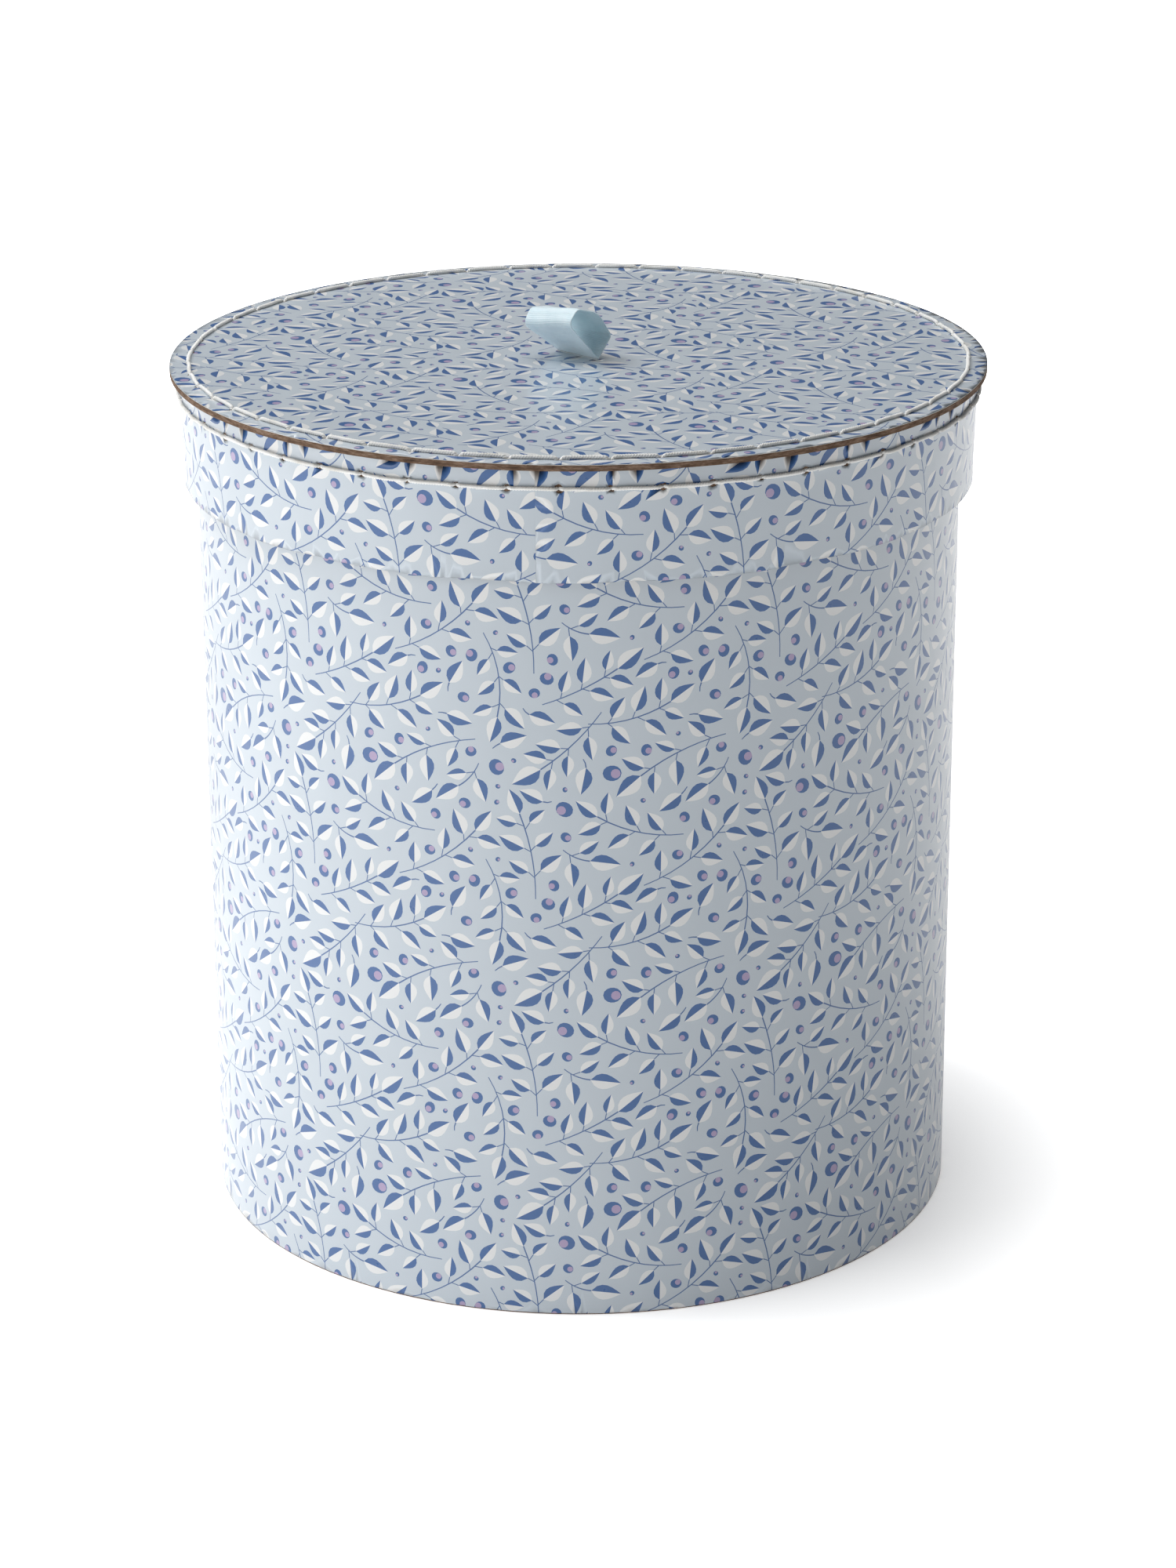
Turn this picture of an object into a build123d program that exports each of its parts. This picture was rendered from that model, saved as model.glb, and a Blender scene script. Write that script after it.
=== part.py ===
from build123d import *
import math
import os

# A round hat box of paper-covered fibreboard with an overlapping lid. The lid is a flat disc
# sewn to a shallow rim with cotton thread, and is lifted by a ribbon loop. Millimetres.
# The origin is the centre of the base on the floor, +Z is up, and +X lies along the ribbon's width.

# Driving dimensions
LID_RADIUS = 175.0
TOTAL_HEIGHT = 375.0
BODY_RADIUS = 164.4
RIM_TOP_RADIUS = 171.3
RIM_BOTTOM_RADIUS = 169.9
RIM_DEPTH = 46.9
WALL_BOARD = 2.2
DISC_BOARD = 2.4
RIM_BOARD = 2.0
BASE_BOARD = 2.4
COVER_PAPER = 0.2
LINING_PAPER = 0.15
BASE_RECESS = 0.8
COVER_PAPER_FOOT = 0.5
TURN_IN_DEPTH = 14.0
SEAM_GAP = 0.4
BODY_SEAM_ANGLE = 135.0
RIM_SEAM_ANGLE = -50.9

# Sewing: every hole in the disc stands over one in the rim, and the thread goes through both
STITCHES = 52
FIRST_STITCH_ANGLE = 0.9
THREAD_RADIUS = 0.75
PULLED_THREAD_RADIUS = 0.6
NEEDLE_HOLE_RADIUS = 0.8
STITCH_INSET = 8.0
STITCH_DROP = 10.8
THREAD_LIFT = 0.02
THREAD_BEND_RADIUS = 1.0
CORNER_THREAD_DROP = 1.0
CORNER_THREAD_GAP = 0.75

# Ribbon: a loop that leans to -Y, whose ends go down a slot and are glued under the lid
RIBBON_WIDTH = 24.5
RIBBON_THICKNESS = 0.5
RIBBON_LIFT = 0.1
LOOP_ROOT = (0.0, 0.0)
LOOP_BULGE = (-19.5, 17.0)
LOOP_CREST = (-14.5, 23.6)
LOOP_SHOULDER = (-1.5, 20.6)
LOOP_KNEE = (7.4, 9.9)
LOOP_RADII = (0.6, 3.4, 3.8, 12.0, 2.2)
SLOT_LENGTH = 25.3
SLOT_WIDTH = 1.4
TAIL_LENGTH = 22.0
TAIL_MARGIN = 0.2
PATCH_RADIUS = 31.0
PATCH_PAPER = 0.4

# Worked-out sizes
DISC_TOP = TOTAL_HEIGHT - COVER_PAPER
DISC_UNDERSIDE = DISC_TOP - DISC_BOARD
LID_LINING_UNDERSIDE = DISC_UNDERSIDE - LINING_PAPER
RIM_FOOT = DISC_UNDERSIDE - RIM_DEPTH
WALL_TOP = LID_LINING_UNDERSIDE - COVER_PAPER
WALL_OUTER = BODY_RADIUS - COVER_PAPER
WALL_INNER = WALL_OUTER - WALL_BOARD
LINING_INNER = WALL_INNER - LINING_PAPER
TURN_IN_EDGE = WALL_TOP - TURN_IN_DEPTH
BASE_TOP = BASE_RECESS + BASE_BOARD
STITCH_RADIUS = LID_RADIUS - STITCH_INSET
STITCH_LEVEL = TOTAL_HEIGHT - STITCH_DROP
STITCH_PITCH = 360.0 / STITCHES
LID_LINING_RADIUS = STITCH_RADIUS - 1.0


def rim_radius(level):
    """Outside radius of the covered rim, which narrows towards its foot."""
    rise = (level - RIM_FOOT) / RIM_DEPTH
    return RIM_BOTTOM_RADIUS + (RIM_TOP_RADIUS - RIM_BOTTOM_RADIUS) * rise


def revolved(*corners):
    """The full ring or disc whose half section has these (radius, level) corners."""
    section = Plane.XZ * make_face(Polyline(*corners, close=True))
    return revolve(section, axis=Axis.Z)


def tube(inner, outer, bottom, top):
    return revolved((inner, bottom), (outer, bottom), (outer, top), (inner, top))


def disc(radius, bottom, top):
    return Pos(0, 0, bottom) * extrude(Circle(radius), amount=top - bottom)


def rim_tube(skin, thickness):
    """A tapered tube whose outside lies `skin` inside the covered rim's surface."""
    top = RIM_TOP_RADIUS - skin
    foot = RIM_BOTTOM_RADIUS - skin
    return revolved(
        (foot - thickness, RIM_FOOT),
        (foot, RIM_FOOT),
        (top, DISC_UNDERSIDE),
        (top - thickness, DISC_UNDERSIDE),
    )


def with_butt_seam(strip, radius, angle):
    """Part a bent strip where its two ends meet."""
    slit = Box(4 * WALL_BOARD, SEAM_GAP, 2 * TOTAL_HEIGHT + 10)
    return strip - Rot(0, 0, angle) * Pos(radius, 0, 0) * slit


def around_lid(shape):
    """Copies of a shape at every stitch, the first just past +X."""
    return [Rot(0, 0, FIRST_STITCH_ANGLE + STITCH_PITCH * index) * shape for index in range(STITCHES)]


def rim_thread_radius():
    return rim_radius(STITCH_LEVEL) + THREAD_RADIUS + THREAD_LIFT


def thread_tie():
    """The thread's way from the top of the disc, round the inside corner and out of the rim."""
    corner_radius = rim_radius(STITCH_LEVEL) - COVER_PAPER - RIM_BOARD - CORNER_THREAD_GAP
    path = Plane.XZ * FilletPolyline(
        (STITCH_RADIUS, TOTAL_HEIGHT + THREAD_RADIUS + THREAD_LIFT),
        (STITCH_RADIUS, DISC_UNDERSIDE - CORNER_THREAD_DROP),
        (corner_radius, STITCH_LEVEL),
        (rim_thread_radius(), STITCH_LEVEL),
        radius=THREAD_BEND_RADIUS,
    )
    start = Plane(path @ 0, z_dir=path % 0)
    return sweep(start * Circle(PULLED_THREAD_RADIUS), path=path)


def lying_thread(radius, level):
    """One stitch length of thread, which follows the lid's curve."""
    section = Plane.XZ * Pos(radius, level) * Circle(THREAD_RADIUS)
    arc = revolve(section, axis=Axis.Z, revolution_arc=STITCH_PITCH)
    return Rot(0, 0, -STITCH_PITCH / 2) * arc


def needle_holes():
    through_disc = Pos(STITCH_RADIUS, 0, DISC_UNDERSIDE) * Cylinder(NEEDLE_HOLE_RADIUS, 3 * DISC_BOARD)
    across_rim = Rot(0, 90, 0) * Cylinder(NEEDLE_HOLE_RADIUS, 3 * RIM_BOARD)
    through_rim = Pos(rim_radius(STITCH_LEVEL) - RIM_BOARD / 2, 0, STITCH_LEVEL) * across_rim
    return around_lid(through_disc), around_lid(through_rim)


def ribbon_slot():
    return Pos(0, 0, TOTAL_HEIGHT) * Box(SLOT_LENGTH, SLOT_WIDTH, 4 * DISC_BOARD)


def body_wall():
    wall = tube(WALL_INNER, WALL_OUTER, 0, WALL_TOP)
    return with_butt_seam(wall, WALL_OUTER, BODY_SEAM_ANGLE)


def body_cover_paper():
    """Paper over the outside, folded over the mouth and a little way down the inside."""
    return revolved(
        (WALL_OUTER, COVER_PAPER_FOOT),
        (BODY_RADIUS, COVER_PAPER_FOOT),
        (BODY_RADIUS, LID_LINING_UNDERSIDE),
        (LINING_INNER, LID_LINING_UNDERSIDE),
        (LINING_INNER, TURN_IN_EDGE),
        (WALL_INNER, TURN_IN_EDGE),
        (WALL_INNER, WALL_TOP),
        (WALL_OUTER, WALL_TOP),
    )


def lid_thread():
    tie = thread_tie()
    over_disc = lying_thread(STITCH_RADIUS, TOTAL_HEIGHT + THREAD_RADIUS + THREAD_LIFT)
    over_rim = lying_thread(rim_thread_radius(), STITCH_LEVEL)
    return around_lid(tie + over_disc + over_rim)


def ribbon_loop():
    corners = (LOOP_ROOT, LOOP_BULGE, LOOP_CREST, LOOP_SHOULDER, LOOP_KNEE)
    outside = make_face(FilletPolyline(*corners, radius=LOOP_RADII, close=True))
    inside = offset(outside, amount=-RIBBON_THICKNESS, kind=Kind.INTERSECTION)
    profile = Plane.YZ * (outside - inside)
    loop = extrude(profile, amount=RIBBON_WIDTH / 2, both=True)
    return Pos(0, 0, TOTAL_HEIGHT + RIBBON_LIFT) * loop


def ribbon_tail(side):
    """One end of the ribbon: down the slot, then flat under the lid towards +Y or -Y."""
    end = TAIL_LENGTH * side
    layer = RIBBON_THICKNESS * side
    top = TOTAL_HEIGHT
    underside = LID_LINING_UNDERSIDE
    lowest = underside - RIBBON_THICKNESS
    corners = [(0, top), (layer, top), (layer, underside), (end, underside), (end, lowest), (0, lowest)]
    section = Plane.YZ * make_face(Polyline(*corners, close=True))
    return extrude(section, amount=RIBBON_WIDTH / 2, both=True)


def ribbon_patch():
    """A round paper patch glued over the ribbon's ends."""
    bottom = LID_LINING_UNDERSIDE - RIBBON_THICKNESS - PATCH_PAPER
    recess = Box(RIBBON_WIDTH + TAIL_MARGIN, 2 * TAIL_LENGTH + TAIL_MARGIN, 2 * RIBBON_THICKNESS)
    return disc(PATCH_RADIUS, bottom, LID_LINING_UNDERSIDE) - Pos(0, 0, LID_LINING_UNDERSIDE) * recess


def hat_box():
    disc_holes, rim_holes = needle_holes()
    slot = ribbon_slot()
    rim_band = rim_tube(COVER_PAPER, RIM_BOARD)
    return {
        "body_wall": [body_wall()],
        "body_cover_paper": [body_cover_paper()],
        "body_lining_paper": [tube(LINING_INNER, WALL_INNER, BASE_TOP, TURN_IN_EDGE)],
        "base_board": [disc(WALL_INNER, BASE_RECESS, BASE_TOP)],
        "base_lining_paper": [disc(LINING_INNER, BASE_TOP, BASE_TOP + LINING_PAPER)],
        "lid_board": [disc(LID_RADIUS, DISC_UNDERSIDE, DISC_TOP) - slot - disc_holes],
        "lid_top_paper": [disc(LID_RADIUS, DISC_TOP, TOTAL_HEIGHT) - slot - disc_holes],
        "lid_lining_paper": [disc(LID_LINING_RADIUS, LID_LINING_UNDERSIDE, DISC_UNDERSIDE) - slot],
        "lid_rim_band": [with_butt_seam(rim_band, RIM_TOP_RADIUS, RIM_SEAM_ANGLE) - rim_holes],
        "lid_rim_paper": [rim_tube(0, COVER_PAPER) - rim_holes],
        "lid_stitch_thread": lid_thread(),
        "ribbon_loop": [ribbon_loop()],
        "ribbon_tails": [ribbon_tail(1), ribbon_tail(-1)],
        "ribbon_patch": [ribbon_patch()],
    }


os.makedirs("parts", exist_ok=True)
for node, pieces in hat_box().items():
    solids = [solid for piece in pieces for solid in piece.solids()]
    export_step(Compound(children=solids), f"parts/{node}.step")
    print(node, len(solids), "solids", round(sum(solid.volume for solid in solids) / 1000, 2), "cm3")
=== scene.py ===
import math

import bpy
import numpy as np
from mathutils import Matrix, Vector
from mathutils.geometry import delaunay_2d_cdt
from mathutils.kdtree import KDTree


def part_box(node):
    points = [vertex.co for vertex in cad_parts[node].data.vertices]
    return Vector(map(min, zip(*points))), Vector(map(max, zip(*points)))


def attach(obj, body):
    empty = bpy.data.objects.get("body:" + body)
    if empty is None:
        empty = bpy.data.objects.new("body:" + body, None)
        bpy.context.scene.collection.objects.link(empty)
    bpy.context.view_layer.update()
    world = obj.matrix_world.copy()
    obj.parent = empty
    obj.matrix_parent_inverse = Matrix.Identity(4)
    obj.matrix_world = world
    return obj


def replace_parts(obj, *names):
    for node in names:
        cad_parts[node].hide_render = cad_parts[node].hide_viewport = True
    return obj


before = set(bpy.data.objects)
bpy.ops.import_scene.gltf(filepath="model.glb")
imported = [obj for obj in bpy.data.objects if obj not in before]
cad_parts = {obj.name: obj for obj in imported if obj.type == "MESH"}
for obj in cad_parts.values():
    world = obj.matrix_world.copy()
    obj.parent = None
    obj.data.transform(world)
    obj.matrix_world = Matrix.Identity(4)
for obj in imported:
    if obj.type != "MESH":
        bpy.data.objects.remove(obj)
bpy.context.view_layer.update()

# A round hat box of printed paper over fibreboard, worked out in millimetres. The floor, lights and
# camera are in metres.

MM = 0.001
TAU = 2 * math.pi


def unit(vectors):
    return vectors / np.linalg.norm(vectors, axis=-1, keepdims=True)


def run_along(path):
    """How far along a path each of its points lies."""
    return np.concatenate(((0,), np.cumsum(np.linalg.norm(np.diff(path, axis=0), axis=1))))


def points_at(at, run, path):
    return np.stack([np.interp(at, run, column) for column in path.T], -1)


def right_of(path, closed=False):
    """Unit vectors to the right of a flat path."""
    if closed:
        way = unit(np.roll(path, -1, axis=0) - np.roll(path, 1, axis=0))
    else:
        way = unit(np.gradient(path, axis=0))
    return np.stack((way[:, 1], -way[:, 0]), 1)


# ---------------- sizes read from the frame

def outer_radius(node):
    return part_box(node)[1].x / MM


def top_of(node):
    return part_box(node)[1].z / MM


def foot_of(node):
    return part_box(node)[0].z / MM


LID_RADIUS = outer_radius("lid_board")
LID_TOP = top_of("lid_top_paper")
DISC_TOP = top_of("lid_board")
DISC_UNDERSIDE = foot_of("lid_board")
LINING_UNDERSIDE = foot_of("lid_lining_paper")
BODY_RADIUS = outer_radius("body_cover_paper")
MOUTH = top_of("body_cover_paper")
BODY_FOOT = foot_of("body_cover_paper")
LINING_INNER = outer_radius("base_lining_paper")
TURN_IN_EDGE = top_of("body_lining_paper")
RIM_FOOT = foot_of("lid_rim_paper")
RIM_TOP_RADIUS = outer_radius("lid_rim_paper")
RIM_TAPER = 1.4
RIM_FOOT_RADIUS = RIM_TOP_RADIUS - RIM_TAPER
COVER_PAPER = LID_TOP - DISC_TOP
TURN_IN_PAPER = outer_radius("body_lining_paper") - LINING_INNER

# The sewing: each hole in the disc stands over one in the rim
STITCHES = 52
STITCH_PITCH = 360 / STITCHES
FIRST_STITCH_ANGLE = 0.9
STITCH_INSET = 8.0
STITCH_DROP = 10.8
STITCH_RADIUS = LID_RADIUS - STITCH_INSET
STITCH_LEVEL = LID_TOP - STITCH_DROP
HOLE_ANGLES = [math.radians(FIRST_STITCH_ANGLE + STITCH_PITCH * k) for k in range(STITCHES)]
SLOT_LENGTH = 25.3
SLOT_WIDTH = 1.4


# ---------------- how the papers bend

MOUTH_OUTER_BEND = 0.7
MOUTH_INNER_BEND = 0.5
RIM_OVERHANG = 1.0
BODY_LAP = 8.0
BODY_SEAM = math.radians(135)
RIM_LAP = 6.9
RIM_SEAM = math.radians(-50.7)


class Fold:
    """The section of a bent sheet: how far up the flat sheet each (radius, level) corner lies."""

    def __init__(self, corners, normals, thickness):
        self.front = np.array(corners, float)
        self.back = self.front - unit(np.array(normals, float)) * np.array(thickness)[:, None]
        self.stations = run_along(self.front)
        self.length = self.stations[-1]

    def at(self, y, depth):
        """(radius, level) at heights on the flat sheet, at depth 0 on the face or 1 on the back."""
        line = self.front + (self.back - self.front) * depth
        return points_at(y, self.stations, line).T


def body_fold():
    """Up the outside of the wall, over its mouth and a little way down the inside."""
    outer, inner = MOUTH_OUTER_BEND, MOUTH_INNER_BEND
    middle_of_bend = 1 - math.sqrt(0.5)
    far_outer = outer * middle_of_bend
    far_inner = inner * middle_of_bend
    corners = [
        (BODY_RADIUS, BODY_FOOT),
        (BODY_RADIUS, MOUTH - outer),
        (BODY_RADIUS - far_outer, MOUTH - far_outer),
        (BODY_RADIUS - outer, MOUTH),
        (LINING_INNER + inner, MOUTH),
        (LINING_INNER + far_inner, MOUTH - far_inner),
        (LINING_INNER, MOUTH - inner),
        (LINING_INNER, TURN_IN_EDGE),
    ]
    normals = [(1, 0), (1, 0), (1, 1), (0, 1), (0, 1), (-1, 1), (-1, 0), (-1, 0)]
    thickness = [COVER_PAPER] * 5 + [TURN_IN_PAPER] * 3
    return Fold(corners, normals, thickness)


def rim_fold():
    """The rim's slanting outside, and a little below it where the paper hangs over."""
    slope = (RIM_TOP_RADIUS - RIM_FOOT_RADIUS) / (DISC_UNDERSIDE - RIM_FOOT)
    corners = [
        (RIM_FOOT_RADIUS - slope * RIM_OVERHANG, RIM_FOOT - RIM_OVERHANG),
        (RIM_TOP_RADIUS, DISC_UNDERSIDE),
    ]
    return Fold(corners, [(1, -slope)] * 2, [COVER_PAPER] * 2)


BODY_FOLD = body_fold()
RIM_FOLD = rim_fold()
BODY_GIRTH = TAU * BODY_RADIUS
RIM_GIRTH = TAU * (RIM_TOP_RADIUS + RIM_FOOT_RADIUS) / 2


# ---------------- the print: sprigs and berries
# The design is worked out flat, in millimetres, as a tile that repeats both ways.

TILES_ROUND = 10
TILES_UP = 4
TILE = np.array((BODY_GIRTH / TILES_ROUND, BODY_FOLD.length / TILES_UP))
PRINT_SEED = 11
INKS = ("ground", "stem", "white", "blue", "lilac")
STEM, WHITE, BLUE, LILAC = 1, 2, 3, 4
STEM_WIDTH = 0.6
STEM_BEND = (0.25, 0.8)
PETIOLE_WIDTH = 0.4
PETIOLE_LENGTH = (2.4, 3.6)
# Leaves: lengths, the width of each half as a share of the length, and how wide a pair spreads
LEAF_LENGTH = (8.6, 11.8)
TIP_LEAF_LENGTH = (11.0, 14.0)
BLUE_HALF = (0.25, 0.3)
WHITE_HALF = (0.26, 0.31)
LEAF_SPREAD = (0.7, 0.95)
LEAF_GAP = 0.25
# Circles that stand for a leaf while the sprigs are fitted: share of length, lean, share of length
LEAF_SPOTS = ((0.18, 1, 0.2), (0.44, 1, 0.26), (0.72, 0.6, 0.17), (0.93, 0, 0.05))
# Sprigs, the longest first: pairs of leaves and length, and where on the stem each pair grows
SPRIG_KINDS = ((3, 50.0), (2, 39.0), (2, 35.0), (1, 26.0), (0, 15.0))
FULL_SPRIG_PLACES = (0.2, 0.52, 0.84)
SMALL_SPRIG_PLACES = (0.3, 0.72)
SPRIG_GAP = 1.9
SPRIG_SHAPES = 12
PLACES_TRIED = 4000
MOST_OF_A_KIND = 40
# Berries: radii of those that are drawn first, and radius and most of each kind in the gaps
FIRST_BERRIES = (3.6, 3.4, 3.3, 2.7, 2.6, 2.5, 2.5, 2.4, 2.4, 2.3)
LATER_BERRIES = {2.3: 8, 1.1: 10}
BERRY_GAP = 2.0
BERRY_PLACES_TRIED = 40
# The grid that keeps track of the free room, and the most room that it tells apart
CELL = 0.5
MOST_ROOM = 9.0
SNUG_ROOM = 4.0


def turned(points, angle, origin=(0.0, 0.0)):
    c, s = math.cos(angle), math.sin(angle)
    return np.asarray(points) @ np.array(((c, s), (-s, c))) + origin


def heading_vector(angle):
    return np.array((math.cos(angle), math.sin(angle)))


def circle(steps):
    angle = np.arange(steps) * TAU / steps
    return np.stack((np.cos(angle), np.sin(angle)), 1)


def half_leaf(length, width, steps):
    """The outline of one half of a leaf from base to tip: round at the base, pointed at the tip."""
    t = np.linspace(0, 1, steps + 2)
    return np.stack((length * t, width * np.sin(math.pi * t**0.76)), 1)


def leaf(rng, base, angle, length):
    """A leaf split along its midrib into a slim blue half and a fuller white half."""
    side = rng.choice((-1, 1))
    slim = length * rng.uniform(*BLUE_HALF)
    full = length * rng.uniform(*WHITE_HALF)
    blue = turned(half_leaf(length, -slim * side, 5), angle, base)
    white = turned(half_leaf(length, full * side, 6), angle, base)
    white = np.concatenate((white, blue[-2:0:-1]))
    middle = length * 0.03 * side
    spots = np.array([(length * t, middle * k, length * r) for t, k, r in LEAF_SPOTS])
    spots[:, :2] = turned(spots[:, :2], angle, base)
    return [(WHITE, white), (BLUE, blue)], spots


def strip_along(path, widths):
    """A thin strip along a path of points."""
    path = np.asarray(path)
    side = right_of(path) * (np.asarray(widths) / 2)[:, None]
    return np.concatenate((path - side, (path + side)[::-1]))


def sprig(rng, pairs, length):
    """A curved stem with pairs of leaves and one at its end, and the circles that stand for it."""
    bend = rng.choice((-1, 1)) * rng.uniform(*STEM_BEND)
    tip_leaf = min(length * 0.75, rng.uniform(*TIP_LEAF_LENGTH))
    steps = 8 if pairs else 3
    along = np.linspace(0, 1, steps)
    heading = bend * (along - 0.35)
    stride = (length - tip_leaf) / (steps - 1)
    path = np.zeros((steps, 2))
    path[1:] = np.cumsum(np.stack((np.cos(heading), np.sin(heading)), 1)[:-1] * stride, axis=0)
    shapes = [(STEM, strip_along(path, np.linspace(PETIOLE_WIDTH, STEM_WIDTH, steps)))]
    stem_spots = np.column_stack((path, np.full(steps, STEM_WIDTH / 2)))
    leaves = [leaf(rng, path[-1], heading[-1] + rng.uniform(-0.1, 0.1), tip_leaf)]
    for pair in range(pairs):
        for side in (-1, 1):
            share = SMALL_SPRIG_PLACES[pair] if pairs < 3 else FULL_SPRIG_PLACES[pair]
            share += rng.uniform(-0.04, 0.07)
            root = points_at(share, along, path)
            out = bend * (share - 0.35) + side * rng.uniform(*LEAF_SPREAD)
            reach = rng.uniform(*PETIOLE_LENGTH)
            end = root + reach * heading_vector(out)
            shapes.append((STEM, strip_along((root, end), (PETIOLE_WIDTH,) * 2)))
            lean = out + side * rng.uniform(-0.05, 0.3)
            leaves.append(leaf(rng, end, lean, rng.uniform(*LEAF_LENGTH)))
    leaf_spots = [spots for _, spots in leaves]
    crowded = any(
        (distances(one, other) - one[:, None, 2] - other[None, :, 2]).min() < LEAF_GAP
        for number, one in enumerate(leaf_spots)
        for other in leaf_spots[:number]
    )
    shapes += [shape for leaf_shapes, _ in leaves for shape in leaf_shapes]
    return None if crowded else (shapes, np.concatenate([stem_spots, *leaf_spots]))


def distances(one, other):
    gap = one[:, None, :2] - other[None, :, :2]
    return np.hypot(gap[..., 0], gap[..., 1])


def grown_sprig(rng, pairs, length):
    """A sprig whose leaves stand clear of each other."""
    while True:
        found = sprig(rng, pairs, length)
        if found:
            return found


class Room:
    """How far every cell of the tile is from what is already drawn, across the tile's repeats too."""

    def __init__(self):
        self.shape = np.round(TILE / CELL).astype(int)
        grid = np.meshgrid(*(np.arange(n) for n in self.shape), indexing="ij")
        self.cells = np.stack(grid, -1) * TILE / self.shape
        self.free = np.full(self.shape, MOST_ROOM)

    def take(self, spots):
        for x, y, radius in spots:
            gap = self.cells - (x, y)
            gap -= TILE * np.round(gap / TILE)
            self.free = np.minimum(self.free, np.hypot(gap[..., 0], gap[..., 1]) - radius)

    def around(self, spots):
        """The room round spots of shape (..., 3)."""
        cell = np.round(spots[..., :2] / TILE * self.shape).astype(int) % self.shape
        return self.free[cell[..., 0], cell[..., 1]] - spots[..., 2]


def berry(rng, centre, radius):
    """A blue berry, not quite round, with a lilac spot off its middle."""
    steps = 14 if radius > 2 else 11 if radius > 1.2 else 8
    angle = np.arange(steps) * TAU / steps
    wobble = 1 + 0.07 * np.sin(2 * angle + rng.uniform(0, TAU))
    spot = centre + 0.4 * radius * heading_vector(rng.uniform(0, TAU))
    lilac = spot + 0.56 * radius * circle(steps - 3)
    return [(BLUE, centre + radius * wobble[:, None] * circle(steps)), (LILAC, lilac)]


def place_sprig(rng, room, pairs, length):
    """Finds the snuggest place for a new sprig and draws it there. None if it fits nowhere."""
    best = None
    for _ in range(SPRIG_SHAPES):
        shapes, spots = grown_sprig(rng, pairs, length * rng.uniform(0.93, 1.07))
        angles = rng.uniform(0, TAU, PLACES_TRIED)
        places = rng.random((PLACES_TRIED, 2)) * TILE
        c, s = np.cos(angles)[:, None], np.sin(angles)[:, None]
        x, y = spots[:, 0], spots[:, 1]
        moved = np.stack((c * x - s * y, s * x + c * y), -1) + places[:, None]
        radii = np.broadcast_to(spots[:, 2], moved.shape[:2])[..., None]
        space = room.around(np.concatenate((moved, radii), -1))
        score = np.where(space.min(1) > SPRIG_GAP, np.minimum(space, SNUG_ROOM).mean(1), np.inf)
        pick = int(score.argmin())
        if np.isfinite(score[pick]) and (best is None or score[pick] < best[0]):
            drawn = [(ink, turned(points, angles[pick], places[pick])) for ink, points in shapes]
            best = (score[pick], drawn, np.column_stack((moved[pick], spots[:, 2])))
    if best is None:
        return None
    room.take(best[2])
    return best[1]


def place_berry(rng, room, radius):
    """A berry where there is most room, if there is enough for it."""
    pick = np.unravel_index(room.free.argmax(), room.free.shape)
    if room.free[pick] < radius + BERRY_GAP:
        return None
    centre = room.cells[pick] + rng.uniform(-0.2, 0.2, 2)
    room.take([(*centre, radius + 0.2)])
    return berry(rng, centre, radius)


def design_tile():
    """Some berries, sprigs fitted snugly round them, then smaller berries in the gaps."""
    rng = np.random.default_rng(PRINT_SEED)
    room = Room()
    shapes = []
    for radius in FIRST_BERRIES:
        places = rng.random((BERRY_PLACES_TRIED, 2)) * TILE
        places = np.column_stack((places, np.full(BERRY_PLACES_TRIED, radius)))
        centre = places[int(room.around(places).argmax()), :2]
        shapes += berry(rng, centre, radius)
        room.take([(*centre, radius)])
    for pairs, length in SPRIG_KINDS:
        for _ in range(MOST_OF_A_KIND):
            drawn = place_sprig(rng, room, pairs, length)
            if drawn is None:
                break
            shapes += drawn
    for radius, most in LATER_BERRIES.items():
        for _ in range(most):
            drawn = place_berry(rng, room, radius * rng.uniform(0.94, 1.04))
            if drawn is None:
                break
            shapes += drawn
    return shapes


# ---------------- printed paper cut to shape

# How near a line between cells counts as on it, the widest gap that is welded, grid points across a
# cell, and the step between points on the back
SNAP = 1e-4
WELD = 3e-3
GRID = 7
BACK_STEP = 5.0


def anticlockwise(points):
    x, y = np.asarray(points).T
    area = np.dot(x, np.roll(y, -1)) - np.dot(y, np.roll(x, -1))
    return np.asarray(points) if area > 0 else np.asarray(points)[::-1]


def held_by(polygon, points):
    """Which of the points lie inside a polygon."""
    low, high = polygon.min(0), polygon.max(0)
    near = np.nonzero(((points > low) & (points < high)).all(1))[0]
    x, y = points[near].T
    inside = np.zeros(len(near), bool)
    for (ax, ay), (bx, by) in zip(polygon, np.roll(polygon, -1, axis=0)):
        if ay != by:
            inside ^= ((ay > y) != (by > y)) & (x < ax + (y - ay) * (bx - ax) / (by - ay))
    return near[inside]


def overlapping(points, low, high):
    """Where a repeat of these points reaches into the box from low to high, as whole-tile shifts."""
    first = np.ceil((low - points.max(0)) / TILE).astype(int)
    last = np.floor((high - points.min(0)) / TILE).astype(int)
    return [TILE * (i, j) for i in range(first[0], last[0] + 1) for j in range(first[1], last[1] + 1)]


def triangulate(polygons, edges, extra):
    """(points, triangles) for polygons and edges that may cross, and extra points between them."""
    corners = [Vector(p) for polygon in polygons for p in anticlockwise(polygon)]
    starts = np.cumsum([0] + [len(polygon) for polygon in polygons])
    faces = [list(range(a, b)) for a, b in zip(starts[:-1], starts[1:])]
    pairs = []
    for a, b in edges:
        pairs.append((len(corners), len(corners) + 1))
        corners += [Vector(a), Vector(b)]
    corners += [Vector(p) for p in extra]
    found = delaunay_2d_cdt(corners, pairs, faces, 0, 1e-6)
    return np.array([tuple(p) for p in found[0]]), np.array(found[2])


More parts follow.
